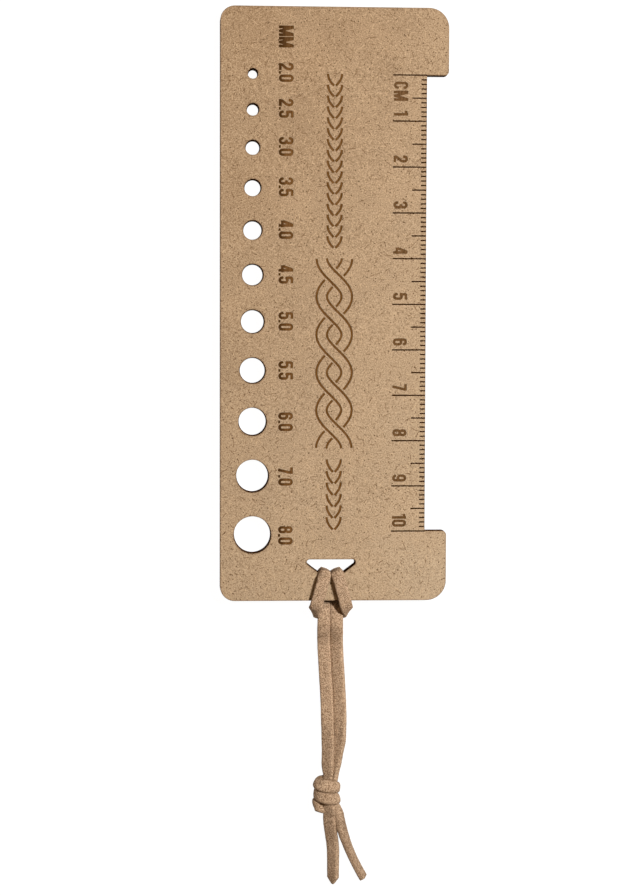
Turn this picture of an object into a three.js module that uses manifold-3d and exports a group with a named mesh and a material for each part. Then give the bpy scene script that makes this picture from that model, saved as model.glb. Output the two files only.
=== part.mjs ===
// Knitting gauge ruler: a laser-cut fibreboard plate with a 10 cm stitch scale in its right edge,
// eleven needle gauge holes down its left side, and a suede lace hitched through a slot near the rim.
// Millimetres. X runs across the plate, Y along it towards the zero end, Z up from the table.
// The plate lies on the table at its zero end, and its rim rests on the lace that passes under the bar.
import * as THREE from 'three';
import { mergeVertices } from 'three/addons/utils/BufferGeometryUtils.js';
import Module from 'manifold-3d';

const wasm = await Module();
wasm.setup();

// Plate
const PLATE_WIDTH = 50;
const PLATE_THICKNESS = 3;
const ZERO_END_MARGIN = 14.6; // from the zero mark to the zero end of the plate
const RIM_MARGIN = 15.4; // from the last mark to the rim
const LEFT_CORNER_RADIUS = 3.2;
const RIGHT_CORNER_RADIUS = 4.4;

// Scale: a notch in the right edge, with its walls on the first and the last mark
const SCALE_LENGTH = 100;
const MARK_STEP = 1;
const MARKS_PER_HALF = 5;
const NOTCH_DEPTH = 4.8;
const TAB_TIP_RADIUS = 0.9;
const LONG_MARK = 7.1;
const HALF_MARK = 3;
const SHORT_MARK = 1;
const MARK_WIDTH = 0.3;
const MARK_DEPTH = 0.15;

// Needle gauge holes, by needle size
const NEEDLE_SIZES = [2, 2.5, 3, 3.5, 4, 4.5, 5, 5.5, 6, 7, 8];
const NEEDLE_PLAY = 0.25; // added to the needle size
const HOLE_INSET = 7.1; // from the left edge to the hole centres
const HOLE_ROW_OVERRUN = 0.8; // the last hole's centre lies this far past the last mark

// Lace
const LACE_WIDTH = 2.8;
const LACE_THICKNESS = 1.4;
const LACE_ROUNDING = 0.35;
const SEAT_GAP = 0.3; // between the lace and what it lies on
const STRAND_GAP = 0.1; // between the two strands
const TABLE_PLAY = 0.05; // under the lace, because its smooth route dips a little between its stops

// Lace slot: its flat lower edge takes both strands between their rounded edges
const BAR_HEIGHT = 5.9; // from the rim to the slot
const SLOT_HEIGHT = 3.25;
const SLOT_SIDE_ANGLE = 37; // degrees from the lower edge
const SLOT_SHIFT = -0.5; // from the middle of the plate
const SLOT_TOP_RADIUS = 0.7;
const SLOT_FOOT_RADIUS = 0.4;

// Hitch: two legs fan out over the bar, fold under past the rim, and meet below the strands
const LEG_SPREAD = 3.05; // from the middle of the slot to a leg's centre at the rim
const FOLD_SPREAD = 4; // the same, where the leg folds under
const FOLD_DROP = 2.1; // from the rim to the fold
const BIGHT_DROP = 3.5; // from the rim to the middle of the closed end
const HITCH_END = 3; // where the hitch meets the strands under the bar, from the rim

// Strands: they rise over the closed end, come down on the table and turn on edge towards the knot.
// Places along them are drops from the rim. Turns are in degrees, the right edge up.
const RISE_START = 0.1;
const RISE_END = 2.1;
const LANDING_START = 4.4;
const LANDING_END = 10.4;
const LEFT_TURN = 11;
const RIGHT_TURN = 25;
const KNOT_TURN = 62;
const TURN_LENGTH = 16; // before the knot, where they turn further
const CLIMB_LENGTH = 9; // before the knot, where they leave the table
const STRAND_SHIFT = -0.42; // of the pair's middle, from the middle of the plate
const STRAND_SWAY = 0.95; // to the right
const STRAND_RETURN = 0.78; // and back again on the climb
const SWAY_START = 6;
const SWAY_END = 28;
const STRAND_STOPS = 44;
const STOPS_CROWDING = 1.6; // towards the bar, where the bends are sharp; 1 would be even

// Knot
const KNOT_DROP = 40.1; // from the rim to the knot
const KNOT_SHIFT = -0.97; // of the knot's middle, from the middle of the plate
const KNOT_WIDTH = 6.2;
const KNOT_HEIGHT = 5;
const KNOT_LENGTH = 8.2;
const KNOT_NECK = 3.6; // width at the ends
const KNOT_BANDS = 3;
const KNOT_BAND = 2.4; // along the lace
const KNOT_SLANT = 12; // degrees

// Tails: lengths are down from the knot, and shifts from the middle of the plate
const LEFT_TAIL_LENGTH = 14.5; // without its point
const LEFT_TAIL_POINT = 1.6;
const LEFT_TAIL_SHIFT = -0.38;
const LEFT_TAIL_SWAY = 0.95; // to the right
const LEFT_TAIL_SWAY_LENGTH = 9;
const LEFT_TAIL_HEIGHT = 1.4; // of its underside at the knot
const LEFT_TAIL_TURN = 25;
const LEFT_TAIL_TWIST = 20; // added towards its end
const RIGHT_TAIL_LENGTH = 14.6;
const RIGHT_TAIL_SHIFT = 1.72;
const RIGHT_TAIL_SLOPE = 0.19; // sideways for each millimetre down
const RIGHT_TAIL_BEND = 0.0136; // the slope grows by twice this each millimetre
const RIGHT_TAIL_HEIGHT = 0.6;
const RIGHT_TAIL_TURN = 70;
const TAIL_LANDING = 7;
const TAIL_STOPS = 15;

const degrees = Math.PI / 180;
const plateLength = ZERO_END_MARGIN + SCALE_LENGTH + RIM_MARGIN;
const zeroMarkY = plateLength / 2 - ZERO_END_MARGIN;
const notchX = PLATE_WIDTH / 2 - NOTCH_DEPTH;
const rimY = -plateLength / 2;
const strandOffset = (LACE_WIDTH + STRAND_GAP) / 2;
const lift = TABLE_PLAY + LACE_THICKNESS + SEAT_GAP; // of the plate's back at the slot
const tilt = Math.asin(lift / (plateLength - BAR_HEIGHT));

const boardMaterial = new THREE.MeshStandardMaterial({ color: '#b8997a', roughness: 0.85, metalness: 0 });
const suedeMaterial = new THREE.MeshStandardMaterial({ color: '#a98a6c', roughness: 0.95, metalness: 0 });

// Closed mesh to solid, and back
function toSolid(geometry) {
  const bare = geometry.clone();
  bare.deleteAttribute('normal');
  bare.deleteAttribute('uv');
  const merged = mergeVertices(bare, 1e-5);
  return new wasm.Manifold(new wasm.Mesh({
    numProp: 3,
    vertProperties: new Float32Array(merged.attributes.position.array),
    triVerts: new Uint32Array(merged.index.array),
  }));
}

function toGeometry(solid) {
  const mesh = solid.getMesh();
  const geometry = new THREE.BufferGeometry();
  geometry.setAttribute('position', new THREE.BufferAttribute(new Float32Array(mesh.vertProperties), 3));
  geometry.setIndex(new THREE.BufferAttribute(new Uint32Array(mesh.triVerts), 1));
  geometry.computeVertexNormals();
  return geometry;
}

// Closed path through corners { x, y, radius }, each rounded by an arc that touches both its sides
function roundCorners(path, corners) {
  corners.forEach(({ x, y, radius }, i) => {
    const corner = new THREE.Vector2(x, y);
    const before = corners[(i + corners.length - 1) % corners.length];
    const after = corners[(i + 1) % corners.length];
    const inward = corner.clone().sub(before);
    const outward = new THREE.Vector2(after.x, after.y).sub(corner);
    const turn = Math.atan2(inward.cross(outward), inward.dot(outward));
    const side = Math.sign(turn);
    const shortest = Math.min(inward.length(), outward.length());
    const reach = Math.min(radius * Math.tan(Math.abs(turn) / 2), 0.49 * shortest);
    const bend = reach / Math.tan(Math.abs(turn) / 2);
    if (bend === 0) {
      path.lineTo(x, y);
      return;
    }
    inward.normalize();
    const centre = corner.addScaledVector(inward, -reach)
      .add(new THREE.Vector2(-inward.y, inward.x).multiplyScalar(side * bend));
    const start = Math.atan2(-side * inward.x, side * inward.y);
    path.absarc(centre.x, centre.y, bend, start, start + turn, side < 0);
  });
  path.closePath();
  return path;
}

// Plate, in its own frame: its middle at the origin, its back at z = 0
function plateOutline() {
  const left = -PLATE_WIDTH / 2;
  const right = PLATE_WIDTH / 2;
  const lastMarkY = zeroMarkY - SCALE_LENGTH;
  return roundCorners(new THREE.Shape(), [
    { x: left, y: rimY, radius: LEFT_CORNER_RADIUS },
    { x: right, y: rimY, radius: RIGHT_CORNER_RADIUS },
    { x: right, y: lastMarkY, radius: TAB_TIP_RADIUS },
    { x: notchX, y: lastMarkY, radius: 0 },
    { x: notchX, y: zeroMarkY, radius: 0 },
    { x: right, y: zeroMarkY, radius: TAB_TIP_RADIUS },
    { x: right, y: -rimY, radius: RIGHT_CORNER_RADIUS },
    { x: left, y: -rimY, radius: LEFT_CORNER_RADIUS },
  ]);
}

// The row starts on the zero mark, and the board left between neighbouring holes is the same all along
function gaugeHoles() {
  const diameters = NEEDLE_SIZES.map((size) => size + NEEDLE_PLAY);
  const total = diameters.reduce((sum, diameter) => sum + diameter, 0);
  const rowLength = SCALE_LENGTH + HOLE_ROW_OVERRUN + (diameters[0] + diameters.at(-1)) / 2;
  const web = (rowLength - total) / (diameters.length - 1);
  let edgeY = zeroMarkY + diameters[0] / 2;
  return diameters.map((diameter) => {
    const hole = new THREE.Path();
    hole.absarc(-PLATE_WIDTH / 2 + HOLE_INSET, edgeY - diameter / 2, diameter / 2, 0, 2 * Math.PI, false);
    edgeY -= diameter + web;
    return hole;
  });
}

function laceSlot() {
  const halfFoot = LACE_WIDTH - LACE_ROUNDING + STRAND_GAP / 2;
  const halfTop = halfFoot + SLOT_HEIGHT / Math.tan(SLOT_SIDE_ANGLE * degrees);
  const footY = rimY + BAR_HEIGHT;
  const topY = footY + SLOT_HEIGHT;
  return roundCorners(new THREE.Path(), [
    { x: SLOT_SHIFT - halfFoot, y: footY, radius: SLOT_FOOT_RADIUS },
    { x: SLOT_SHIFT + halfFoot, y: footY, radius: SLOT_FOOT_RADIUS },
    { x: SLOT_SHIFT + halfTop, y: topY, radius: SLOT_TOP_RADIUS },
    { x: SLOT_SHIFT - halfTop, y: topY, radius: SLOT_TOP_RADIUS },
  ]);
}

// Engraved marks, which run out at the notch edge; the first and the last end in its corners
function scaleMarks() {
  const count = Math.round(SCALE_LENGTH / MARK_STEP);
  return Array.from({ length: count + 1 }, (_, i) => {
    const shorter = i % MARKS_PER_HALF === 0 ? HALF_MARK : SHORT_MARK;
    const length = i % (2 * MARKS_PER_HALF) === 0 ? LONG_MARK : shorter;
    const overrun = i === 0 || i === count ? 0 : MARK_WIDTH;
    const box = new THREE.BoxGeometry(length + overrun, MARK_WIDTH, 2 * MARK_DEPTH);
    box.translate(notchX + (overrun - length) / 2, zeroMarkY - i * MARK_STEP, PLATE_THICKNESS);
    return toSolid(box);
  });
}

function plateGeometry() {
  const outline = plateOutline();
  outline.holes.push(...gaugeHoles(), laceSlot());
  const blank = new THREE.ExtrudeGeometry(outline, {
    depth: PLATE_THICKNESS, bevelEnabled: false, curveSegments: 12,
  });
  return toGeometry(wasm.Manifold.difference([toSolid(blank), ...scaleMarks()]));
}

// Closed body through rings of points, each ring with as many points as the last
function loft(rings) {
  const sides = rings[0].length;
  const last = (rings.length - 1) * sides;
  const faces = [];
  for (let ring = 0; ring < last; ring += sides) {
    for (let k = 0; k < sides; k += 1) {
      const next = (k + 1) % sides;
      faces.push(ring + k, ring + next, ring + sides + next, ring + k, ring + sides + next, ring + sides + k);
    }
  }
  for (let k = 1; k < sides - 1; k += 1) {
    faces.push(0, k + 1, k, last, last + k, last + k + 1);
  }
  const geometry = new THREE.BufferGeometry().setFromPoints(rings.flat());
  geometry.setIndex(faces);
  geometry.computeVertexNormals();
  return geometry;
}

// Section of the lace, across its width and its thickness
const laceSection = [[1, 1], [-1, 1], [-1, -1], [1, -1]].flatMap(([right, up]) => {
  const corners = [
    [right * LACE_WIDTH / 2, up * (LACE_THICKNESS / 2 - LACE_ROUNDING)],
    [right * (LACE_WIDTH / 2 - LACE_ROUNDING), up * LACE_THICKNESS / 2],
  ];
  return right === up ? corners : corners.reverse();
});

// How far the section, turned on edge, reaches from its middle in a direction. Both angles are from X.
function laceReach(turned, direction) {
  const angle = (direction - turned) * degrees;
  return Math.max(...laceSection.map(([u, v]) => u * Math.cos(angle) + v * Math.sin(angle)));
}

// Flat lace along a smooth route: each stop has its place and the direction of the lace's width.
// A point, if any, narrows the far end over that length.
function laceGeometry(stops, stepsPerStop, point = 0) {
  const places = new THREE.CatmullRomCurve3(stops.map((stop) => stop.place));
  const widths = new THREE.CatmullRomCurve3(stops.map((stop) => stop.across));
  const steps = (stops.length - 1) * stepsPerStop;
  const ringAt = (place, along, across, narrowing) => {
    const width = across.clone().addScaledVector(along, -across.dot(along)).normalize();
    const upright = along.clone().cross(width);
    return laceSection.map(([u, v]) => (
      place.clone().addScaledVector(width, u * narrowing).addScaledVector(upright, v)
    ));
  };
  const rings = Array.from({ length: steps + 1 }, (_, i) => {
    const t = i / steps;
    return ringAt(places.getPoint(t), places.getTangent(t), widths.getPoint(t), 1);
  });
  if (point > 0) {
    const along = places.getTangent(1);
    rings.push(ringAt(places.getPoint(1).addScaledVector(along, point), along, widths.getPoint(1), 0.1));
  }
  return loft(rings);
}

// The hitch's right half, from under the bar, up through the slot, over the bar and round to the middle
// of the closed end. Places are from the middle of the slot at the rim; the angle is the width's, from X.
function hitchHalf() {
  const stop = (x, y, z, angle = 0) => ({ x, y, z, angle });
  const reach = SEAT_GAP + LACE_THICKNESS / 2; // from the board to the middle of the lace
  const floor = TABLE_PLAY + LACE_THICKNESS / 2;
  const front = lift + PLATE_THICKNESS + reach;
  const stops = [
    stop(strandOffset, HITCH_END, floor),
    stop(strandOffset, (HITCH_END + BAR_HEIGHT) / 2, floor),
  ];
  [0, 30, 60, 90].forEach((turn) => {
    stops.push(stop(
      strandOffset,
      BAR_HEIGHT + reach * Math.sin(turn * degrees),
      floor + reach * (1 - Math.cos(turn * degrees)),
    ));
  });
  stops.push(stop(strandOffset, BAR_HEIGHT + reach, lift + PLATE_THICKNESS / 2));
  [90, 60, 30, 0].forEach((turn) => {
    stops.push(stop(
      strandOffset,
      BAR_HEIGHT + reach * Math.sin(turn * degrees),
      front - reach * (1 - Math.cos(turn * degrees)),
    ));
  });
  const fan = Math.atan2(LEG_SPREAD - strandOffset, BAR_HEIGHT) / degrees;
  const onLeg = (share) => stop(
    strandOffset + (LEG_SPREAD - strandOffset) * share, BAR_HEIGHT * (1 - share), front + 0.08 * share, fan,
  );
  stops.push(onLeg(0.3), onLeg(0.65), onLeg(1));
  const middle = (front + floor) / 2;
  stops.push(
    stop(LEG_SPREAD + 0.3, -0.35 * FOLD_DROP, front - 0.1, 24),
    stop(FOLD_SPREAD - 0.32, -0.65 * FOLD_DROP, front - 0.75, 40),
    stop(FOLD_SPREAD - 0.08, -0.88 * FOLD_DROP, middle + 0.9, 58),
    stop(FOLD_SPREAD, -FOLD_DROP, middle - 0.3, 69),
    stop(FOLD_SPREAD - 0.08, -FOLD_DROP - 0.3, floor + 1.1, 76),
    stop(0.84 * FOLD_SPREAD, -0.8 * BIGHT_DROP, floor + 0.32, 81),
    stop(0.63 * FOLD_SPREAD, -0.89 * BIGHT_DROP, floor + 0.02, 85),
    stop(0.33 * FOLD_SPREAD, -0.97 * BIGHT_DROP, floor, 88),
    stop(0, -BIGHT_DROP, floor, 90),
  );
  return stops;
}

function hitchGeometry() {
  const right = hitchHalf();
  const left = right.slice(0, -1).reverse().map((stop) => ({ ...stop, x: -stop.x, angle: 180 - stop.angle }));
  return laceGeometry([...right, ...left].map(({ x, y, z, angle }) => ({
    place: new THREE.Vector3(SLOT_SHIFT + x, rimY + y, z),
    across: new THREE.Vector3(Math.cos(angle * degrees), Math.sin(angle * degrees), 0),
  })), 2);
}

const eased = THREE.MathUtils.smoothstep;

// Drops from the rim at the stops of a route
function dropsAlong(from, to, count, crowding = 1) {
  return Array.from({ length: count + 1 }, (_, i) => from + (to - from) * (i / count) ** crowding);
}

// Stop at a drop from the rim, with the height of the lace's underside and how far it is turned on edge
function laceStop(drop, x, under, turned) {
  return {
    place: new THREE.Vector3(x, rimY - drop, TABLE_PLAY + under + laceReach(turned, 90)),
    across: new THREE.Vector3(Math.cos(turned * degrees), 0, Math.sin(turned * degrees)),
  };
}

// Both strands' stops at a drop from the rim: side by side, or face to face where they stand on edge
function pairStops(drop) {
  const turning = eased(drop, RISE_END, LANDING_END);
  const nearing = eased(drop, KNOT_DROP - TURN_LENGTH, KNOT_DROP);
  const left = LEFT_TURN * turning + (KNOT_TURN - LEFT_TURN) * nearing;
  const right = RIGHT_TURN * turning + (KNOT_TURN - RIGHT_TURN) * nearing;
  const hump = eased(drop, RISE_START, RISE_END) - eased(drop, LANDING_START, LANDING_END);
  const climb = eased(drop, KNOT_DROP - CLIMB_LENGTH, KNOT_DROP);
  const under = (LACE_THICKNESS + SEAT_GAP + 2 * TABLE_PLAY) * hump
    + (KNOT_HEIGHT / 2 - TABLE_PLAY - laceReach(KNOT_TURN, 90)) * climb;
  const middle = SLOT_SHIFT + (STRAND_SHIFT - SLOT_SHIFT) * turning
    + STRAND_SWAY * eased(drop, SWAY_START, SWAY_END) - STRAND_RETURN * climb;
  const reach = laceReach(left, 0) + laceReach(right, 0);
  const beside = reach + STRAND_GAP;
  const facing = laceReach(left, left + 90) + laceReach(right, left + 90) + STRAND_GAP;
  const step = (laceReach(right, 90) - laceReach(left, 90)) * Math.cos(left * degrees);
  const apart = left > 0 ? Math.min(beside, (facing + step) / Math.sin(left * degrees)) : beside;
  const leftX = middle - (reach + apart) / 2 + laceReach(left, 0);
  return [laceStop(drop, leftX, under, left), laceStop(drop, leftX + apart, under, right)];
}

function strandGeometry(side) {
  const drops = dropsAlong(SEAT_GAP - HITCH_END, KNOT_DROP - SEAT_GAP, STRAND_STOPS, STOPS_CROWDING);
  return laceGeometry(drops.map((drop) => pairStops(drop)[side]), 1);
}

// The knot: bands of lace wound round the strands, on a slant between its square ends
function knotGeometry() {
  const sides = 20;
  const ring = (y, width, slanted) => Array.from({ length: sides }, (_, k) => {
    const angle = 2 * Math.PI * k / sides;
    const x = width / 2 * Math.cos(angle);
    const z = width / 2 * Math.sin(angle) * KNOT_HEIGHT / KNOT_WIDTH;
    return new THREE.Vector3(x, y - (slanted ? x * Math.tan(KNOT_SLANT * degrees) : 0), z);
  });
  const bandsLength = KNOT_BANDS * KNOT_BAND;
  const endLength = (KNOT_LENGTH - bandsLength) / 2;
  const rings = [ring(0, KNOT_NECK, false)];
  for (let band = 0; band < KNOT_BANDS; band += 1) {
    const topY = -endLength - band * KNOT_BAND;
    [[0.06, 0.9], [0.2, 0.98], [0.5, 1], [0.8, 0.98], [0.94, 0.9]].forEach(([share, swell]) => {
      rings.push(ring(topY - share * KNOT_BAND, KNOT_WIDTH * swell, true));
    });
  }
  rings.push(ring(-KNOT_LENGTH, KNOT_NECK, false));
  return loft(rings);
}

const knotFoot = KNOT_DROP + KNOT_LENGTH + SEAT_GAP;

function leftTailStop(drop) {
  const run = drop - knotFoot;
  const x = LEFT_TAIL_SHIFT + LEFT_TAIL_SWAY * eased(run, 0, LEFT_TAIL_SWAY_LENGTH);
  const under = LEFT_TAIL_HEIGHT * (1 - eased(run, 0, TAIL_LANDING));
  return laceStop(drop, x, under, LEFT_TAIL_TURN + LEFT_TAIL_TWIST * eased(run, 0, LEFT_TAIL_LENGTH));
}

function rightTailStop(drop) {
  const run = drop - knotFoot;
  const x = RIGHT_TAIL_SHIFT + RIGHT_TAIL_SLOPE * run + RIGHT_TAIL_BEND * run ** 2;
  return laceStop(drop, x, RIGHT_TAIL_HEIGHT * (1 - eased(run, 0, TAIL_LANDING)), RIGHT_TAIL_TURN);
}

function tailGeometry(stopAt, length, point = 0) {
  return laceGeometry(dropsAlong(knotFoot, knotFoot + length, TAIL_STOPS).map(stopAt), 1, point);
}

function addPiece(parent, name, geometry, material) {
  const mesh = new THREE.Mesh(geometry, material);
  mesh.name = name;
  parent.add(mesh);
  return mesh;
}

const ruler = new THREE.Group();

const plateGroup = new THREE.Group();
plateGroup.rotation.x = -tilt;
plateGroup.position.set(0, -PLATE_THICKNESS / 2 * Math.sin(tilt), plateLength / 2 * Math.sin(tilt));
addPiece(plateGroup, 'gauge_plate', plateGeometry(), boardMaterial);
ruler.add(plateGroup);

addPiece(ruler, 'lace_hitch', hitchGeometry(), suedeMaterial);
addPiece(ruler, 'lace_strand_left', strandGeometry(0), suedeMaterial);
addPiece(ruler, 'lace_strand_right', strandGeometry(1), suedeMaterial);
const knot = addPiece(ruler, 'lace_knot', knotGeometry(), suedeMaterial);
knot.position.set(KNOT_SHIFT, rimY - KNOT_DROP, KNOT_HEIGHT / 2);
const leftTail = tailGeometry(leftTailStop, LEFT_TAIL_LENGTH, LEFT_TAIL_POINT);
const rightTail = tailGeometry(rightTailStop, RIGHT_TAIL_LENGTH);
addPiece(ruler, 'lace_tail_left', leftTail, suedeMaterial);
addPiece(ruler, 'lace_tail_right', rightTail, suedeMaterial);

export default ruler;
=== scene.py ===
import math

import bpy
import numpy as np
from numpy.linalg import norm
from mathutils import Matrix, Vector, noise
from mathutils.geometry import delaunay_2d_cdt


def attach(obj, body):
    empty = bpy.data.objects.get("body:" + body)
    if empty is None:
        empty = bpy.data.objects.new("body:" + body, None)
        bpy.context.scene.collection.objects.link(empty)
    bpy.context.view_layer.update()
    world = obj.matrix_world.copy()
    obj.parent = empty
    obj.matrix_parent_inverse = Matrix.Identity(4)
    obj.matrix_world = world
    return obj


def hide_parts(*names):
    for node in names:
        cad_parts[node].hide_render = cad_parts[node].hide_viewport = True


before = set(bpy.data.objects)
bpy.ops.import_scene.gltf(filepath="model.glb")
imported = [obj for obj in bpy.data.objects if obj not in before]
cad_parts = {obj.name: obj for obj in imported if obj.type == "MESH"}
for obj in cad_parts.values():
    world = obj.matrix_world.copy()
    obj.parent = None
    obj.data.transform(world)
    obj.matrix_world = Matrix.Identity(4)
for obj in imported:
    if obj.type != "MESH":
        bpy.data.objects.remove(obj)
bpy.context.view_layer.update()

# Knitting gauge ruler: a laser-cut and engraved fibreboard plate with a suede lace hitched through its slot.
# Lengths are in millimetres until a mesh is made, which turns them into metres.

MM = 0.001

# Sizes of the solids
PLATE_WIDTH, PLATE_THICKNESS, PLATE_LENGTH = 50.0, 3.0, 130.0
ZERO_END_MARGIN, SCALE_LENGTH, NOTCH_DEPTH = 14.6, 100.0, 4.8
LEFT_CORNER, RIGHT_CORNER, TAB_TIP = 3.2, 4.4, 0.9
MARK_WIDTH, ENGRAVED_DEPTH = 0.3, 0.15
NEEDLE_SIZES = (2, 2.5, 3, 3.5, 4, 4.5, 5, 5.5, 6, 7, 8)
NEEDLE_PLAY, HOLE_INSET, HOLE_ROW_OVERRUN = 0.25, 7.1, 0.8
LACE_WIDTH, LACE_THICKNESS, LACE_ROUNDING = 2.8, 1.4, 0.35
SEAT_GAP, STRAND_GAP, TABLE_PLAY = 0.3, 0.1, 0.05
BAR_HEIGHT, SLOT_HEIGHT, SLOT_SIDE_ANGLE, SLOT_SHIFT = 5.9, 3.25, 37.0, -0.5
SLOT_TOP_RADIUS, SLOT_FOOT_RADIUS = 0.7, 0.4
LEG_SPREAD, BIGHT_DROP, HITCH_END = 3.05, 3.5, 3.0
RISE_START, RISE_END, LANDING_START, LANDING_END = 0.1, 2.1, 4.4, 10.4
LEFT_TURN, RIGHT_TURN, KNOT_TURN, TURN_LENGTH, CLIMB_LENGTH = 11.0, 25.0, 62.0, 16.0, 9.0
STRAND_SHIFT, STRAND_SWAY, STRAND_RETURN, SWAY_START, SWAY_END = -0.42, 0.95, 0.78, 6.0, 28.0
STRAND_STOPS, STOPS_CROWDING, TAIL_STOPS = 44, 1.6, 15
KNOT_DROP, KNOT_SHIFT, KNOT_WIDTH, KNOT_HEIGHT, KNOT_LENGTH = 40.1, -0.97, 6.2, 5.0, 8.2
LEFT_TAIL_LENGTH, LEFT_TAIL_POINT, LEFT_TAIL_SHIFT = 14.5, 1.6, -0.38
LEFT_TAIL_SWAY, LEFT_TAIL_SWAY_LENGTH = 0.95, 9.0
LEFT_TAIL_HEIGHT, LEFT_TAIL_TURN, LEFT_TAIL_TWIST = 1.4, 25.0, 20.0
RIGHT_TAIL_LENGTH, RIGHT_TAIL_SHIFT, RIGHT_TAIL_SLOPE, RIGHT_TAIL_BEND = 14.6, 1.72, 0.19, 0.0136
RIGHT_TAIL_HEIGHT, RIGHT_TAIL_TURN, TAIL_LANDING = 0.6, 70.0, 7.0

RIM = -PLATE_LENGTH / 2
ZERO_MARK = PLATE_LENGTH / 2 - ZERO_END_MARGIN
NOTCH_X = PLATE_WIDTH / 2 - NOTCH_DEPTH
STRAND_OFFSET = (LACE_WIDTH + STRAND_GAP) / 2
LIFT = TABLE_PLAY + LACE_THICKNESS + SEAT_GAP
TILT = math.asin(LIFT / (PLATE_LENGTH - BAR_HEIGHT))


def add_object(name, data):
    thing = bpy.data.objects.new(name, data)
    bpy.context.scene.collection.objects.link(thing)
    return thing


# Camera, as fitted to the plate's edges and scale

IMAGE_SHIFT = -0.78 / 896, 0.5 / 896  # pixels as shares of the image's height
LENS, SENSOR_WIDTH, CLIP_START = 85, 36, 0.01
CAMERA_PLACE = (-0.03282, 0.00133, 0.46783)
CAMERA_AHEAD, CAMERA_RIGHT = (0.06433, -0.07007, -0.99547), (0.99793, 0.00393, 0.06421)


def add_camera():
    data = bpy.data.cameras.new("camera")
    data.lens, data.sensor_width, data.clip_start = LENS, SENSOR_WIDTH, CLIP_START
    data.shift_x, data.shift_y = IMAGE_SHIFT
    ahead, right = Vector(CAMERA_AHEAD).normalized(), Vector(CAMERA_RIGHT)
    right = (right - ahead * right.dot(ahead)).normalized()
    turn = Matrix((right, right.cross(ahead), -ahead)).transposed().to_4x4()
    camera = add_object("camera", data)
    camera.matrix_world = Matrix.Translation(CAMERA_PLACE) @ turn
    bpy.context.scene.camera = camera


add_camera()


# Lace

def smooth_line(points, ts):
    """Centripetal line through the points, as the solids follow it, at each t from 0 to 1."""
    p = np.asarray(points, float)
    ends = np.vstack([2 * p[0] - p[1], p, 2 * p[-1] - p[-2]])
    out = []
    for t in ts:
        s = (len(p) - 1) * t
        i = min(int(s), len(p) - 2)
        w = s - i
        p0, p1, p2, p3 = ends[i:i + 4]
        d0, d1, d2 = (math.sqrt(norm(b - a)) for a, b in ((p0, p1), (p1, p2), (p2, p3)))
        d1 = d1 if d1 >= 1e-4 else 1.0
        d0, d2 = (d if d >= 1e-4 else d1 for d in (d0, d2))
        t1 = ((p1 - p0) / d0 - (p2 - p0) / (d0 + d1) + (p2 - p1) / d1) * d1
        t2 = ((p2 - p1) / d1 - (p3 - p1) / (d1 + d2) + (p3 - p2) / d2) * d1
        out.append(p1 + t1 * w + (3 * (p2 - p1) - 2 * t1 - t2) * w ** 2 + (2 * (p1 - p2) + t1 + t2) * w ** 3)
    return np.array(out)


def run_along(places):
    """Distance along the line up to each place."""
    return np.concatenate([[0], np.cumsum(norm(np.diff(places, axis=0), axis=1))])


def resampled(at, run, values):
    return np.stack([np.interp(at, run, column) for column in values.T], axis=1)


def even_route(stops, step):
    """Places and width directions every step along the smooth route of the stops (place, across)."""
    ts = np.linspace(0, 1, 24 * len(stops))
    places, across = (smooth_line(values, ts) for values in zip(*stops))
    run = run_along(places)
    at = np.linspace(0, run[-1], max(2, round(run[-1] / step)) + 1)
    return resampled(at, run, places), resampled(at, run, across), at


def unit(vectors):
    return vectors / norm(vectors, axis=-1, keepdims=True)


def lace_section(sides, squareness):
    """Soft-edged flat section as (u, v) from -1 to 1."""
    angles = (np.arange(sides) + 0.5) * 2 * math.pi / sides
    cos, sin = np.cos(angles), np.sin(angles)
    return np.sign(cos) * np.abs(cos) ** squareness[0], np.sign(sin) * np.abs(sin) ** squareness[1]


def nap(p, size, seed):
    """Smooth unevenness from -1 to 1 at that size, in millimetres."""
    return noise.noise(Vector(p) / size + Vector((seed, 2.7 * seed, -seed)))


RIDGE = 0.32  # across a crowned lace, from -1 to 1
COARSE_NAP, FINE_NAP = 0.9, 0.42  # sizes of the unevenness


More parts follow.
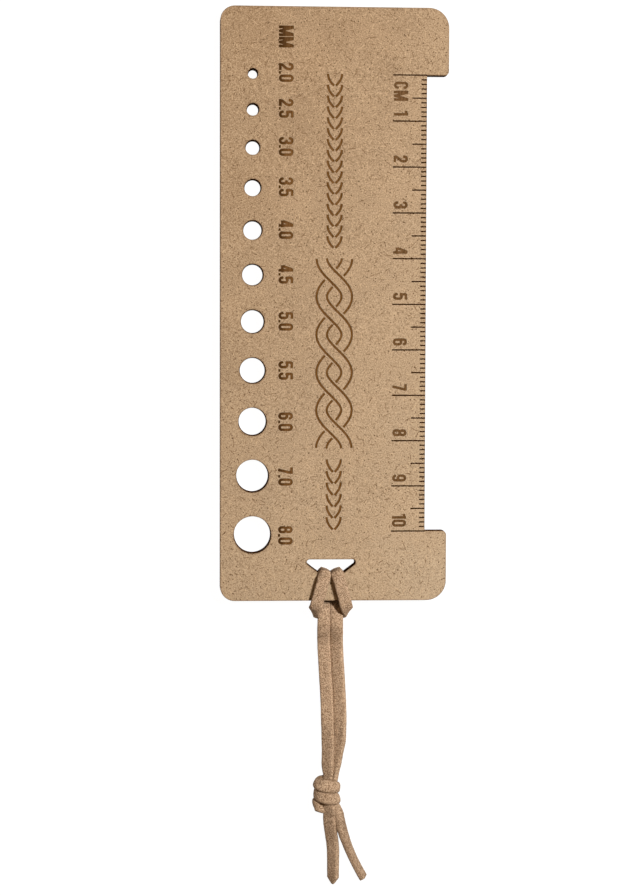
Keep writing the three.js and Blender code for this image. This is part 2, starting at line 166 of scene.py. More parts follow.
def lace_mesh(name, places, across, width, thickness, seed, sides=32, rough=0.03, puffy=False, crown=0.0):
    """Mesh of a lace. Its width, thickness and crown, how far the outer face falls from its ridge to the lace's
    edges, may change from place to place."""
    count = len(places)
    width, thickness, crown = (np.broadcast_to(value, count) for value in (width, thickness, crown))
    along = unit(np.gradient(places, axis=0))
    across = unit(across - along * np.sum(across * along, axis=1, keepdims=True))
    upright = np.cross(along, across)
    u, v = lace_section(sides, (0.6, 0.74) if puffy else (0.4, 0.56))
    slope = np.where(u > RIDGE, (u - RIDGE) / (1 - RIDGE), (RIDGE - u) / (1 + RIDGE)) ** 1.3 * (v + 1) / 2
    height = v * thickness[:, None] / 2 - slope * crown[:, None]
    points = places[:, None] + across[:, None] * (u[:, None] * width[:, None, None] / 2)
    points = points + upright[:, None] * height[:, :, None]
    outward = unit(points - places[:, None]).reshape(-1, 3)
    points = points.reshape(-1, 3)
    push = rough * np.array([nap(p, COARSE_NAP, seed) + 0.7 * nap(p, FINE_NAP, seed + 5) for p in points])
    last = (count - 1) * sides
    faces = [
        (row + k, row + (k + 1) % sides, row + sides + (k + 1) % sides, row + sides + k)
        for row in range(0, last, sides) for k in range(sides)
    ]
    faces += [tuple(range(sides))[::-1], tuple(range(last, last + sides))]
    mesh = bpy.data.meshes.new(name)
    mesh.from_pydata([tuple(p * MM) for p in points + outward * push[:, None]], [], faces)
    mesh.polygons.foreach_set("use_smooth", [True] * (len(faces) - 2) + [False] * 2)
    edge = np.abs(u)
    cut = np.clip((edge - 0.88) / 0.08, 0, 1) * (not puffy)
    # Painted shade in the knot's creases: darker towards the edges of the puffy section, fading towards the
    # knot's end
    crease_shade = np.clip((edge - 0.66) / 0.26, 0, 1) * puffy
    crease_shade_along = np.interp(np.arange(count) / count, (0.4, 0.55, 0.82, 0.9), (1.0, 0.65, 0.5, 0.25))
    for key, values in (("cut", np.tile(cut, count)), ("crease_shade", np.outer(crease_shade_along, crease_shade).ravel())):
        mesh.attributes.new(key, "FLOAT", "POINT").data.foreach_set("value", values)
    mesh.update()
    return mesh


def add_piece(mesh, slot, *nodes):
    piece = add_object(mesh.name, mesh)
    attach(piece, "root")
    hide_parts(*nodes)
    return piece


def smooth(values, start, end):
    t = np.clip((values - start) / (end - start), 0.0, 1.0)
    return t * t * (3 - 2 * t)


def lace_reach(turned, direction):
    """How far the lace's section, turned on edge, reaches from its middle in a direction. Degrees from X."""
    angle = math.radians(direction - turned)
    half_width, half_thickness = LACE_WIDTH / 2, LACE_THICKNESS / 2
    corners = (half_width, half_thickness - LACE_ROUNDING), (half_width - LACE_ROUNDING, half_thickness)
    return max(abs(u * math.cos(angle)) + abs(v * math.sin(angle)) for u, v in corners)


def width_direction(turned):
    return math.cos(math.radians(turned)), 0, math.sin(math.radians(turned))


def lace_stop(drop, x, under, turned):
    """Place and width direction at a drop from the rim, with the underside's height and the turn on edge."""
    return (x, RIM - drop, TABLE_PLAY + under + lace_reach(turned, 90)), width_direction(turned)


TURN_SEEN = 0.56  # of the solids' turn at the knot, so that the strands touch
SUEDE_SHIFT = -0.11  # of the right strand, the knot and the tails from the solids' places
FOLD_LIFT = 0.85  # of the strands above the solids' height, where they pass over the hitch's fold
TIED_SHIFT, TIED_TURN = 0.45, 34  # of the left and of the right strand, where they enter the knot


def pair_stops(drop):
    """Both strands' stops at a drop from the rim: side by side, or face to face where they stand on edge."""
    turning = smooth(drop, RISE_END, LANDING_END)
    nearing = smooth(drop, KNOT_DROP - TURN_LENGTH, KNOT_DROP)
    left = LEFT_TURN * turning + (KNOT_TURN - LEFT_TURN) * nearing
    right = RIGHT_TURN * turning + (KNOT_TURN - RIGHT_TURN) * nearing
    hump = smooth(drop, RISE_START, RISE_END) - smooth(drop, LANDING_START, LANDING_END)
    climb = smooth(drop, KNOT_DROP - CLIMB_LENGTH, KNOT_DROP)
    under = (LACE_THICKNESS + SEAT_GAP + 2 * TABLE_PLAY) * hump
    under += (KNOT_HEIGHT / 2 - TABLE_PLAY - lace_reach(KNOT_TURN, 90)) * climb
    middle = SLOT_SHIFT + (STRAND_SHIFT - SLOT_SHIFT) * turning
    middle += STRAND_SWAY * smooth(drop, SWAY_START, SWAY_END) - STRAND_RETURN * climb
    reach = lace_reach(left, 0) + lace_reach(right, 0)
    apart = reach + STRAND_GAP
    if left > 0:
        facing = lace_reach(left, left + 90) + lace_reach(right, left + 90) + STRAND_GAP
        step = (lace_reach(right, 90) - lace_reach(left, 90)) * math.cos(math.radians(left))
        apart = min(apart, (facing + step) / math.sin(math.radians(left)))
    left_x = middle - (reach + apart) / 2 + lace_reach(left, 0)
    (left_x, y, left_z), _ = lace_stop(drop, left_x, under, left)
    (right_x, _, right_z), _ = lace_stop(drop, left_x + apart, under, right)
    seen = 1 - (1 - TURN_SEEN) * nearing
    tied = smooth(drop, KNOT_DROP - 4, KNOT_DROP)
    lift = FOLD_LIFT * (smooth(drop, 0.2, 2.0) - smooth(drop, LANDING_START, LANDING_END))
    return (
        ((left_x + TIED_SHIFT * tied, y, left_z + lift), width_direction(seen * left)),
        ((right_x + SUEDE_SHIFT, y, right_z + lift), width_direction(seen * right + TIED_TURN * tied)),
    )


KNOT_FOOT = KNOT_DROP + KNOT_LENGTH + SEAT_GAP


def left_tail_stop(run):
    x = SUEDE_SHIFT + LEFT_TAIL_SHIFT + LEFT_TAIL_SWAY * smooth(run, 0, LEFT_TAIL_SWAY_LENGTH)
    under = LEFT_TAIL_HEIGHT * (1 - smooth(run, 0, TAIL_LANDING))
    turned = LEFT_TAIL_TURN + LEFT_TAIL_TWIST * smooth(run, 0, LEFT_TAIL_LENGTH)
    return lace_stop(KNOT_FOOT + run, x, under, turned)


def right_tail_stop(run):
    x = SUEDE_SHIFT + RIGHT_TAIL_SHIFT + RIGHT_TAIL_SLOPE * run + RIGHT_TAIL_BEND * run ** 2
    under = RIGHT_TAIL_HEIGHT * (1 - smooth(run, 0, TAIL_LANDING))
    place, _ = lace_stop(KNOT_FOOT + run, x, under, RIGHT_TAIL_TURN)
    return place, width_direction(125 - 14 * smooth(run, 2, 10))


# Inside the knot and out over its last band: drop from the rim, x, z, degrees on edge
LEFT_CORE = ((42.6, -1.2, 2.7, 36), (44.4, -1.1, 3.1, 34), (45.9, -0.78, 3.35, 30), (47.3, -0.48, 3.15, 26))
RIGHT_CORE = ((42.6, 0.15, 2.5, 76), (44.4, 0.3, 2.6, 92), (45.9, 0.6, 2.7, 108), (47.3, 1.1, 2.4, 122))


def lace_stops(side, core, tail_stop, tail_length):
    """All stops of one of the two free ends, from under the bar to its tip."""
    start, end = SEAT_GAP - HITCH_END, KNOT_DROP - SEAT_GAP
    drops = start + (end - start) * np.linspace(0, 1, STRAND_STOPS + 1) ** STOPS_CROWDING
    stops = [pair_stops(drop)[side] for drop in drops]
    stops += [((x, RIM - drop, z), width_direction(turned)) for drop, x, z, turned in core]
    return stops + [tail_stop(run) for run in np.linspace(0, tail_length, TAIL_STOPS + 1)]


LACE_STEP, NAP_WIDTH, PINCH = 0.2, 0.08, 0.16  # the last is how much narrower the lace is in the knot


def add_cord(side, stops, end_taper, seed):
    places, across, at = even_route(stops, LACE_STEP)
    narrowing = np.clip((at[-1] - at) / end_taper, 0, 1) if end_taper else np.ones(len(at))
    drop = RIM - places[:, 1]
    pinch = smooth(drop, KNOT_DROP - 3, KNOT_DROP + 1) - smooth(drop, KNOT_DROP + 5, KNOT_DROP + 9)
    width = (LACE_WIDTH + NAP_WIDTH) * (0.1 + 0.9 * narrowing) * (1 - PINCH * pinch)
    thickness = LACE_THICKNESS * (0.3 + 0.7 * narrowing ** 0.5)
    mesh = lace_mesh(f"suede_lace_{side}", places, across, width, thickness, seed)
    piece = add_piece(mesh, "suede", f"lace_strand_{side}", f"lace_tail_{side}")
    return piece


left_stops = lace_stops(0, LEFT_CORE, left_tail_stop, LEFT_TAIL_LENGTH)
before_tip, tip = (np.array(place) for place, _ in left_stops[-2:])
tip_along = (tip - before_tip) / norm(tip - before_tip)
left_stops.append((tuple(tip + tip_along * LEFT_TAIL_POINT), left_stops[-1][1]))
right_stops = lace_stops(1, RIGHT_CORE, right_tail_stop, RIGHT_TAIL_LENGTH)

laces = [
    add_cord("left", left_stops, LEFT_TAIL_POINT, 3),
    add_cord("right", right_stops, 0, 11),
]


HITCH_CROWN, BEND_THINNING, BAR_PLAY = 0.85, 0.25, 0.06


def hitch_half():
    """Stops x, y, z, angle of the right half: from under the bar, up through the slot, round to the fold."""
    floor = TABLE_PLAY + LACE_THICKNESS / 2
    reach = BAR_PLAY + LACE_THICKNESS / 2
    front = LIFT + PLATE_THICKNESS + SEAT_GAP + LACE_THICKNESS / 2
    stops = [(STRAND_OFFSET, y, floor, 0) for y in (HITCH_END, (HITCH_END + BAR_HEIGHT) / 2)]

    def bend(turns, level, side):
        for turn in map(math.radians, turns):
            height = level + side * reach * (1 - math.cos(turn))
            stops.append((STRAND_OFFSET, BAR_HEIGHT + reach * math.sin(turn), height, 0))

    bend((0, 30, 60, 90), floor, 1)
    stops.append((STRAND_OFFSET, BAR_HEIGHT + reach, LIFT + PLATE_THICKNESS / 2, 0))
    bend((90, 60, 30, 0), front, -1)
    fan = math.degrees(math.atan2(LEG_SPREAD - STRAND_OFFSET, BAR_HEIGHT))
    for share in (0.3, 0.65, 1):
        x = STRAND_OFFSET + (LEG_SPREAD - STRAND_OFFSET) * share
        stops.append((x, BAR_HEIGHT * (1 - share), front + 0.08 * share, fan))
    middle = (front + floor) / 2
    stops += [
        (LEG_SPREAD + 0.18, -0.75, front - 0.05, 17),
        (3.42, -1.4, front - 0.55, 28),
        (3.58, -1.98, middle + 1.0, 43),
        (3.62, -2.32, middle - 0.2, 56),
        (3.5, -2.58, floor + 1.2, 66),
        (3.1, -2.92, floor + 0.35, 76),
        (2.4, -3.2, floor, 84),
        (1.3, -3.38, floor, 88),
        (0, -BIGHT_DROP, floor, 90),
    ]
    return stops


def add_hitch():
    right = hitch_half()
    left = [(-x, y, z, 180 - angle) for x, y, z, angle in right[-2::-1]]
    stops = [
        ((SLOT_SHIFT + x, RIM + y, z), (math.cos(math.radians(a)), math.sin(math.radians(a)), 0))
        for x, y, z, a in right + left
    ]
    places, across, _ = even_route(stops, LACE_STEP)
    bent = smooth(places[:, 1] - RIM, BAR_HEIGHT - 1.4, BAR_HEIGHT - 0.2)
    thickness = LACE_THICKNESS - BEND_THINNING * bent
    mesh = lace_mesh("suede_hitch", places, across, LACE_WIDTH, thickness, 23, crown=HITCH_CROWN * bent)
    return add_piece(mesh, "suede", "lace_hitch")


# Last band of the knot, from behind it round to under the left tail: x, drop from the rim, z, degrees of lean
LAST_BAND = (
    (-0.9, 45.4, 0.98, 4), (-1.9, 45.58, 0.92, 0), (-2.8, 45.7, 1.0, -4), (-3.3, 45.82, 1.6, -10),
    (-3.42, 46.02, 2.3, -17), (-3.15, 46.3, 2.85, -24), (-2.4, 46.7, 2.75, -30), (-1.4, 47.0, 2.2, -31),
    (-0.3, 47.1, 1.85, -24),
)


FIRST_TURN, LAST_TURN, BAND_PITCH, BAND_WIDTH = -0.62, 1.42, 2.62, 2.36
BAND_THICKNESS, FIRST_THICKNESS, LAST_THICKNESS = 2.1, 1.2, 1.6


def add_knot():
    """The lace wound round the strands: a helix of puffy bands that rises at its start, then the last band."""
    turns = np.linspace(FIRST_TURN, LAST_TURN, 240)
    risen = smooth(turns, FIRST_TURN, -0.34)
    thickness = FIRST_THICKNESS + (BAND_THICKNESS - FIRST_THICKNESS) * risen
    thickness -= (BAND_THICKNESS - LAST_THICKNESS) * smooth(turns, 1.3, LAST_TURN)
    reach = 0.42 + 0.58 * risen
    half_x = (KNOT_WIDTH * reach - 0.16 - thickness) / 2
    half_z = (KNOT_HEIGHT * reach - thickness) / 2
    angle = math.pi / 2 - 2 * math.pi * turns
    sin, cos = np.sin(angle), np.cos(angle)
    places = np.stack([
        KNOT_SHIFT + half_x * cos,
        RIM - KNOT_DROP - 1.6 - BAND_PITCH * turns - 0.45 * (1 - smooth(turns, -0.3, 0.1)),
        KNOT_HEIGHT / 2 + half_z * sin,
    ], axis=1)
    width = BAND_WIDTH + 0.85 * np.clip(sin, 0, 1)
    lean = np.radians(np.interp(turns, [-0.25, 0, 0.25, 0.75, 1.25, 1.42], [26, 12, -8, 8, 10, 6]))
    across = np.stack([-np.sin(lean) * cos, np.cos(lean), -np.sin(lean) * sin], axis=1)
    tuck = [(places[-1], across[-1])]
    for x, drop, z, degrees in LAST_BAND:
        tilt = math.radians(degrees)
        tuck.append(((x, RIM - drop, z), (math.sin(tilt), math.cos(tilt), 0)))
    more, more_across, at = even_route(tuck, 0.1)
    at = at[1:]
    places, across = np.vstack([places, more[1:]]), np.vstack([across, more_across[1:]])
    thickness = np.append(thickness, LAST_THICKNESS - 0.15 * smooth(at, 1.0, 3.5))
    width = np.append(width, BAND_WIDTH - 0.16 * smooth(at, 0.6, 2.4) + 0.4 * smooth(at, 3.6, 6.0))
    run = run_along(places)
    at = np.linspace(0, run[-1], round(run[-1] / 0.15))
    places, across = resampled(at, run, places), resampled(at, run, across)
    thickness, width = np.interp(at, run, thickness), np.interp(at, run, width)
    places[:, 0] += SUEDE_SHIFT
    mesh = lace_mesh("suede_knot", places, across, width, thickness, 31, sides=40, rough=0.05, puffy=True)
    return add_piece(mesh, "suede", "lace_knot")


laces += [add_hitch(), add_knot()]


# Plate outline, in its own frame with its back at z = 0

def rounded(corners, arc_step=7.5):
    """Closed polygon through corners (x, y, radius), each rounded by an arc."""
    points = []
    for before, (x, y, radius), after in zip(corners[-1:] + corners[:-1], corners, corners[1:] + corners[:1]):
        corner = Vector((x, y))
        inward, outward = corner - Vector(before[:2]), Vector(after[:2]) - corner
        if radius == 0:
            points.append(tuple(corner))
            continue
        turn = math.atan2(inward.x * outward.y - inward.y * outward.x, inward.dot(outward))
        inward.normalize()
        side = math.copysign(1, turn)
        aside = Vector((-inward.y, inward.x)) * side
        centre = corner - inward * radius * math.tan(abs(turn) / 2) + aside * radius
        start = math.atan2(-side * inward.x, side * inward.y)
        steps = max(2, math.ceil(abs(math.degrees(turn)) / arc_step))
        for k in range(steps + 1):
            a = start + turn * k / steps
            points.append((centre.x + radius * math.cos(a), centre.y + radius * math.sin(a)))
    return np.array(points)


def plate_loops():
    left, right = -PLATE_WIDTH / 2, PLATE_WIDTH / 2
    last = ZERO_MARK - SCALE_LENGTH
    outline = rounded([
        (left, RIM, LEFT_CORNER), (right, RIM, RIGHT_CORNER), (right, last, TAB_TIP),
        (NOTCH_X, last, 0), (NOTCH_X, ZERO_MARK, 0), (right, ZERO_MARK, TAB_TIP),
        (right, -RIM, RIGHT_CORNER), (left, -RIM, LEFT_CORNER),
    ])
    loops = [outline]
    sizes = [size + NEEDLE_PLAY for size in NEEDLE_SIZES]
    row = SCALE_LENGTH + HOLE_ROW_OVERRUN + (sizes[0] + sizes[-1]) / 2
    web = (row - sum(sizes)) / (len(sizes) - 1)
    edge = ZERO_MARK + sizes[0] / 2
    centres = []
    for size in sizes:
        centre = (left + HOLE_INSET, edge - size / 2)
        centres.append(centre)
        edge -= size + web
        angles = np.linspace(0, 2 * math.pi, 72, endpoint=False)
        loops.append(np.array(centre) + size / 2 * np.stack([np.cos(-angles), np.sin(-angles)], axis=1))
    half_foot = LACE_WIDTH - LACE_ROUNDING + STRAND_GAP / 2
    half_top = half_foot + SLOT_HEIGHT / math.tan(math.radians(SLOT_SIDE_ANGLE))
    foot, top = RIM + BAR_HEIGHT, RIM + BAR_HEIGHT + SLOT_HEIGHT
    slot = rounded([
        (SLOT_SHIFT - half_foot, foot, SLOT_FOOT_RADIUS), (SLOT_SHIFT + half_foot, foot, SLOT_FOOT_RADIUS),
        (SLOT_SHIFT + half_top, top, SLOT_TOP_RADIUS), (SLOT_SHIFT - half_top, top, SLOT_TOP_RADIUS),
    ])
    loops.append(slot[::-1])
    return loops, centres


def inset(loop, distance):
    """The loop moved to its left, which is into the board for the outline and for the reversed holes."""
    normals = []
    for edge in loop - np.roll(loop, 1, axis=0), np.roll(loop, -1, axis=0) - loop:
        edge = unit(edge)
        normals.append(np.stack([-edge[:, 1], edge[:, 0]], axis=1))
    before, after = normals
    mitre = (before + after) / (1 + np.sum(before * after, axis=1, keepdims=True))
    return loop + mitre * distance


# Engraving: strokes (points, half width) in the plate's own frame

STROKE = 0.182  # of a figure's height


def arc(cx, cy, rx, ry, start, end, steps=10):
    angles = np.radians(np.linspace(start, end, steps + 1))
    return [(cx + rx * math.cos(a), cy + ry * math.sin(a)) for a in angles]


def glyphs():
    """Strokes of plain condensed figures and letters, one unit high, and their widths."""
    s = STROKE / 2
    w = 0.5
    lo, hi, left, right, mid = s, 1 - s, s, w - s, w / 2
    rx, ry, waist = mid - left, 0.17, 0.53

    def dome(start, end):
        return arc(mid, hi - ry, rx, ry, start, end)

    def bowl(start, end):
        return arc(mid, lo + ry, rx, ry, start, end)

    ring = dome(0, 180) + bowl(180, 360)
    narrow = rx * 0.95
    upper = arc(mid, hi - 0.16, narrow, 0.16, 0, 180) + arc(mid, waist + 0.15, narrow, 0.15, 180, 360)
    lower = arc(mid, waist - 0.16, rx, 0.16, 0, 180) + bowl(180, 360)
    six = ring + arc(mid, 0.43, rx, 0.16, 0, 180)
    swash = bowl(360, 180) + [(left, 0.3)]
    return {
        "0": (w, [ring + ring[:1]]),
        "1": (0.36, [[(0.27, 0), (0.27, 1)], [(0.03, 0.83), (0.22, 0.87)]]),
        "2": (w, [
            [(left, 0.66)] + dome(180, 0) + [(right, 0.66), (0.36, 0.5), (0.12, 0.22), (0.1, lo)],
            [(0.02, lo), (0.48, lo)],
        ]),
        "3": (w, [
            [(left, 0.72)] + arc(mid, hi - 0.16, rx, 0.16, 180, 0) + arc(mid, 0.67, rx, 0.14, 0, -80),
            [(0.2, 0.53)] + arc(mid, 0.39, rx, 0.14, 80, 0) + swash,
        ]),
        "4": (w, [[(0.37, 0), (0.37, 1)], [(0.33, 0.97), (0.08, 0.3)], [(0.03, 0.26), (0.5, 0.26)]]),
        "5": (w, [
            [(0.47, hi), (0.06, hi)], [(0.1, hi), (0.1, 0.5)],
            [(0.1, 0.54)] + arc(mid, 0.47, rx, 0.13, 140, 0) + swash,
        ]),
        "6": (w, [six]),
        "7": (w, [[(0.02, hi), (0.48, hi)], [(0.4, 0.9), (0.19, 0)]]),
        "8": (w, [upper + upper[:1], lower + lower[:1]]),
        "9": (w, [[(w - x, 1 - y) for x, y in six]]),
        ".": (0.15, [[(0.075, 0), (0.075, 0.14)]]),
        "C": (w, [dome(-20, 180) + bowl(180, 380)]),
        "M": (0.7, [
            [(s, 0), (s, 1)], [(0.7 - s, 0), (0.7 - s, 1)], [(0.12, 0.94), (0.35, 0.08), (0.58, 0.94)],
        ]),
    }


GLYPHS = glyphs()


def word(text, height, gap=0.06, stroke=STROKE):
    """Strokes of the text in millimetres, from u = 0, and its whole width."""
    strokes, u = [], 0.0
    for letter in text:
        width, parts = GLYPHS[letter]
        for part in parts:
            strokes.append(([((u + x) * height, y * height) for x, y in part], stroke * height / 2))
        u += width + gap
    return strokes, (u - gap) * height


def down_plate(strokes, x, y):
    """Turns strokes to read down the plate, the foot of the figures at x and their start at y."""
    return [([(x + v, y - u) for u, v in points], half) for points, half in strokes]


# Figures: the x of their feet, their heights, and how they lie against the holes and the long marks
SIZES_X, SIZES_HEIGHT, SIZES_STRETCH, SIZES_SHIFT = 12.74 - PLATE_WIDTH / 2, 3.25, 1.0035, 0.1
SCALE_X, SCALE_HEIGHT, MARK_TO_MIDDLE = 37.9 - PLATE_WIDTH / 2, 3.17, 1.75
MM_START, CM_START = ZERO_MARK + 10.38, ZERO_MARK - 1.45


def label_strokes(hole_centres):
    """The plain figures and units: needle sizes beside the holes, and centimetres beside the long marks."""
    strokes = down_plate(word("MM", SIZES_HEIGHT, 0.05, 0.19)[0], SIZES_X, MM_START)
    strokes += down_plate(word("CM", SCALE_HEIGHT, 0.12)[0], SCALE_X, CM_START)
    for size, (_, y) in zip(NEEDLE_SIZES, hole_centres):
        text, width = word(f"{size:.1f}", SIZES_HEIGHT)
        strokes += down_plate(text, SIZES_X, SIZES_STRETCH * y + width / 2 + SIZES_SHIFT)
    for centimetre in range(1, 11):
        text, width = word(str(centimetre), SCALE_HEIGHT)
        last_figure = GLYPHS[str(centimetre)[-1]][0] * SCALE_HEIGHT
        start = ZERO_MARK - 10 * centimetre + MARK_TO_MIDDLE - last_figure / 2 + width
        strokes += down_plate(text, SCALE_X, start)
    return strokes


STITCH_PITCH, STITCH_WIDTH, STITCH_STROKE = 2.36, 1.55, 0.27
CABLE_TOP, CABLE_FOOT, CABLE_TURNS, CABLE_SWING, CABLE_BAND, CABLE_STROKE = 10.3, -31.2, 5, 2.75, 1.15, 0.26


def stitch_column(top, bottom):
    """A column of knit stitches, each of two leaves."""
    strokes = []
    count = round((top - bottom) / STITCH_PITCH)
    pitch = (top - bottom) / count
    for i in range(count):
        y = top - i * pitch
        for side in (-1, 1):
            leaf = []
            for t in np.linspace(0.08, 1, 8):
                drop = pitch * 1.18 * (1 - t)
                x = side * STITCH_WIDTH * math.sin(math.pi * t * 0.5)
                leaf.append((x, y - drop - 0.12 * math.sin(math.pi * t)))
            strokes.append((leaf, STITCH_STROKE))
    return strokes


def cable_middle(t, side):
    x = side * CABLE_SWING * math.cos(2 * math.pi * CABLE_TURNS * t / 2)
    return np.array([x, CABLE_TOP + (CABLE_FOOT - CABLE_TOP) * t])


def cable_strokes(side, edge):
    """One edge of one of the cable's two ropes, broken where it passes under the other."""
    runs = [[]]
    for t in np.arange(241) / 240:
        ahead = cable_middle(min(1, t + 1e-3), side) - cable_middle(max(0, t - 1e-3), side)
        ahead /= norm(ahead)
        point = cable_middle(t, side) + edge * CABLE_BAND * np.array([-ahead[1], ahead[0]])
        if (int(CABLE_TURNS * t) % 2 == 0) == (side == 1):
            ts = np.linspace(max(0, t - 0.12), min(1, t + 0.12), 80)
            other = np.array([cable_middle(q, -side) for q in ts])
            if np.min(norm(other - point, axis=1)) < CABLE_BAND + 0.45:
                runs.append([])
                continue
        runs[-1].append(tuple(point))
    return [(run, CABLE_STROKE) for run in runs if len(run) > 3]


def motif_strokes():
    """A plain knitting motif down the middle: columns of stitches either side of a cable."""
    ropes = [cable_strokes(side, edge) for side in (-1, 1) for edge in (-1, 1)]
    return sum(ropes, stitch_column(50.5, 12.9) + stitch_column(-33.7, -49.0))


def stroke_field(strokes, xs, ys):
    """Signed distance to the strokes on the grid, negative inside; stroke ends are square."""
    field = np.full((len(ys), len(xs)), 1e3)
    step = xs[1] - xs[0]
    for points, half in strokes:
        p = np.asarray(points, float)
        reach = half + 3 * step
        low, high = p.min(axis=0) - reach, p.max(axis=0) + reach
        (i0, i1), (j0, j1) = np.searchsorted(xs, (low[0], high[0])), np.searchsorted(ys, (low[1], high[1]))
        gx, gy = np.meshgrid(xs[i0:i1], ys[j0:j1])
        near = field[j0:j1, i0:i1]
        closed = np.allclose(p[0], p[-1])
        for k, (a, b) in enumerate(zip(p, p[1:])):
            length = norm(b - a)
            if length < 1e-6:
                continue
            d = (b - a) / length
            along = (gx - a[0]) * d[0] + (gy - a[1]) * d[1]
            off = np.abs((gx - a[0]) * -d[1] + (gy - a[1]) * d[0]) - half
            box = np.maximum(off, np.maximum(-along, along - length))
            np.minimum(near, box, out=near)
            if k > 0 or closed:
                np.minimum(near, np.hypot(gx - a[0], gy - a[1]) - half, out=near)
    return field


def contours(field, xs, ys):
    """Closed loops where the field is zero."""
    inside = field < 0
    links, spots = {}, {}
    cells = inside[:-1, :-1], inside[1:, :-1], inside[:-1, 1:], inside[1:, 1:]
    mixed = np.any(cells, axis=0) & ~np.all(cells, axis=0)
    for j, i in zip(*np.nonzero(mixed)):
        corners = [(j, i), (j, i + 1), (j + 1, i + 1), (j + 1, i)]
        cuts = []
        for first, second in zip(corners, corners[1:] + corners[:1]):
            if inside[first] != inside[second]:
                a, b = cut = tuple(sorted((first, second)))
                w = field[a] / (field[a] - field[b])
                spots[cut] = xs[a[1]] + w * (xs[b[1]] - xs[a[1]]), ys[a[0]] + w * (ys[b[0]] - ys[a[0]])
                cuts.append((cut, inside[first]))
        # Walking anticlockwise round the cell, each cut into the inside leads on to the next cut, out of it
        for k, (cut, was_inside) in enumerate(cuts):
            if not was_inside:
                links[cut] = cuts[(k + 1) % len(cuts)][0]
    loops = []
    while links:
        start, following = links.popitem()
        loop = [spots[start]]
        while following != start:
            loop.append(spots[following])
            following = links.pop(following)
        loops.append(np.array(loop))
    return loops


def simplified(loop, tolerance):
    """The closed loop with the points that change it least left out."""
    def keep(points):
        if len(points) < 3:
            return [0]
        a, b = points[0], points[-1]
        d = b - a
        length = norm(d)
        if length < 1e-9:
            off = norm(points - a, axis=1)
        else:
            off = np.abs((points[:, 0] - a[0]) * d[1] - (points[:, 1] - a[1]) * d[0]) / length
        k = int(np.argmax(off))
        if off[k] < tolerance:
            return [0]
        return keep(points[:k + 1]) + [k + q for q in keep(points[k:])]

    ring = np.vstack([loop, loop[:1]])
    half = len(loop) // 2
    indices = keep(ring[:half + 1]) + [half + q for q in keep(ring[half:])]
    return ring[indices]


def between(points, low, high):
    return np.nonzero(np.all((points >= low) & (points <= high), axis=1))[0]


def inside_loops(points, loops):
    """Even-odd test of the points against all the loops together."""
    result = np.zeros(len(points), bool)
    for loop in loops:
        near = between(points, loop.min(axis=0), loop.max(axis=0))
        ax, ay = loop.T[:, None]
        bx, by = np.roll(loop, -1, axis=0).T[:, None]
        x, y = points[near].T[:, :, None]
        with np.errstate(divide="ignore", invalid="ignore"):
            crossing = (bx - ax) * (y - ay) / (by - ay) + ax
        hits = np.sum(((ay > y) != (by > y)) & (x < crossing), axis=1)
        result[near] ^= hits % 2 == 1
    return result


def distance_to_loops(points, loops):
    best = np.full(len(points), 1e3)
    for loop in loops:
        for p0, p1 in zip(loop, np.roll(loop, -1, axis=0)):
            near = between(points, np.minimum(p0, p1) - 1, np.maximum(p0, p1) + 1)
            d = p1 - p0
            t = np.clip(((points[near] - p0) @ d) / max(d @ d, 1e-12), 0, 1)
            best[near] = np.minimum(best[near], norm(points[near] - p0 - t[:, None] * d, axis=1))
    return best


LONG_MARK, HALF_MARK, SHORT_MARK = 7.45, 3.2, 1.25  # a little longer than the solids'
MARK_OVERRUN = 0.3  # past the notch's wall, so that the marks cut through it


def mark_boxes():
    boxes = []
    for i in range(101):
        length = LONG_MARK if i % 10 == 0 else HALF_MARK if i % 5 == 0 else SHORT_MARK
        left, right = NOTCH_X - length, NOTCH_X + (0 if i in (0, 100) else MARK_OVERRUN)
        low, high = ZERO_MARK - i - MARK_WIDTH / 2, ZERO_MARK - i + MARK_WIDTH / 2
        boxes.append(np.array([(left, low), (right, low), (right, high), (left, high)]))
    return boxes


def triangulated(coords, edges, loops):
    """The points and edges with the closed loops added, as points, triangles and each point's origins."""
    for loop in loops:
        base = len(coords)
        coords += map(Vector, loop)
        edges += [(base + k, base + (k + 1) % len(loop)) for k in range(len(loop))]
    points, _, triangles, origins, *_ = delaunay_2d_cdt(coords, edges, [], 0, 1e-6)
    return np.array([tuple(p) for p in points]), np.array(triangles), origins


def facing(points, triangle, up):
    """The triangle's points in the order that makes it face up, or down."""
    a, b, c = points[triangle]
    anticlockwise = (b[0] - a[0]) * (c[1] - a[1]) - (b[1] - a[1]) * (c[0] - a[0]) > 0
    return [int(p) for p in (triangle if anticlockwise == up else triangle[::-1])]


BEVEL, SCORCH = 0.08, 0.5
KERF_LEAN, RIM_LEAN = 0.15, 0.04  # how much further the back reaches, into the openings and past the rim
GRID, GRID_SHIFT, ENGRAVED_X, ENGRAVED_Y = 0.06, 0.0137, (-13, 18), (-56, 64)
BARE, ENGRAVED, MARKED, CHARRED = range(4)  # the plate's materials


